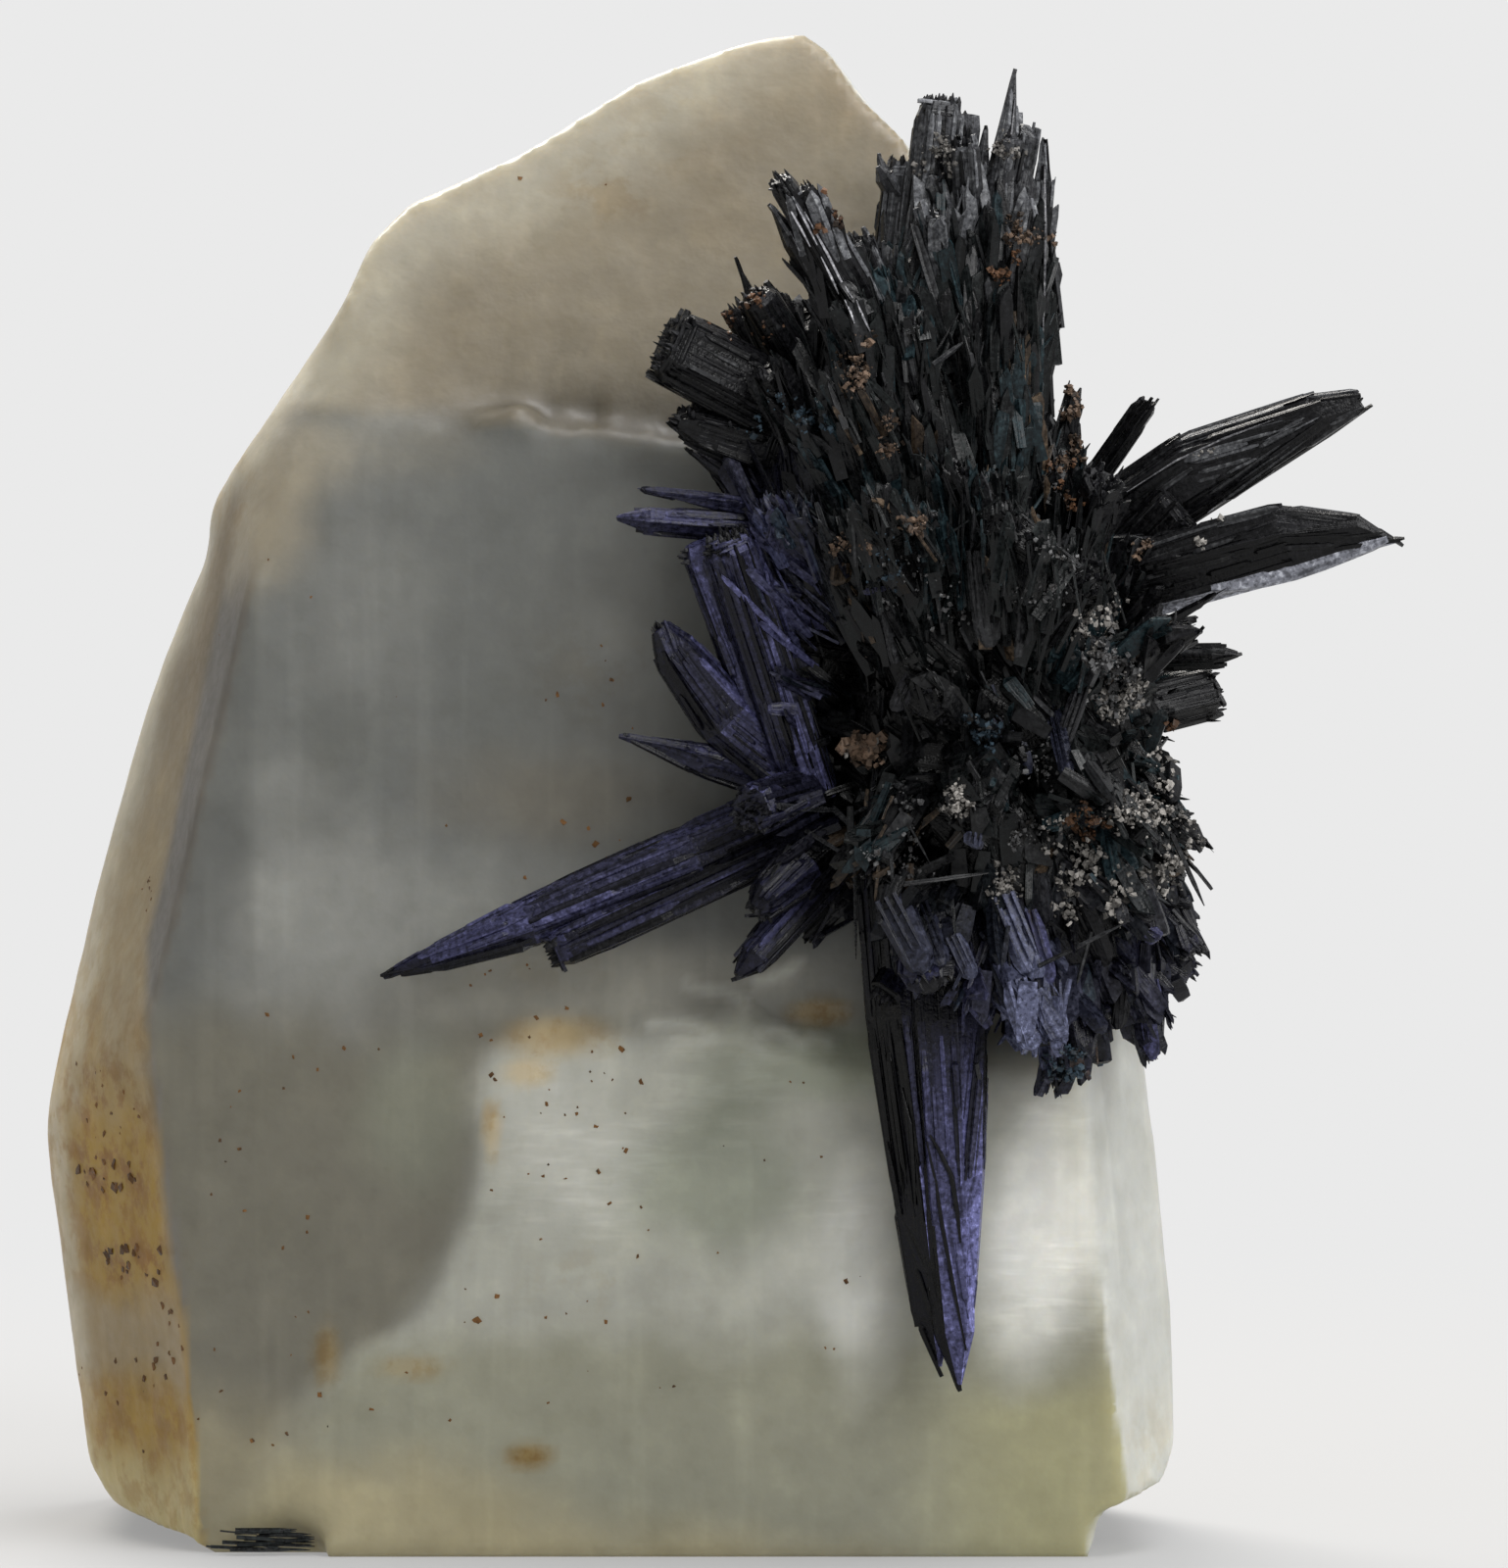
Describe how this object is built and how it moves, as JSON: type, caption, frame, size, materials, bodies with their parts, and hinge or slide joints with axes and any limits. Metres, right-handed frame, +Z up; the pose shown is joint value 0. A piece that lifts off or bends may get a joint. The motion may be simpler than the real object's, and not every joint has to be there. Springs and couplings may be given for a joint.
{
  "type": "aegirine on orthoclase",
  "caption": "Mineral specimen: a spray of black, lance-shaped aegirine crystals grown over the front right edge of a blocky, milky orthoclase crystal that stands on its broken base.",
  "frame": {"origin": "on the ground, under the middle of the specimen's bounding box", "axes": "+Z up, +X to the right seen from the front, front towards -Y"},
  "size_m": [0.0548, 0.0411, 0.062],
  "materials": {
    "orthoclase": "milky translucent feldspar, grey on the front, beige at the top, stained orange-tan on the left",
    "aegirine": "near-black glassy striated crystal with a slate-violet sheen"
  },
  "bodies": {
    "root": {"orthoclase_crystal": "orthoclase", "aegirine_spray": "aegirine", "aegirine_needles": "aegirine"}
  },
  "joints": []
}
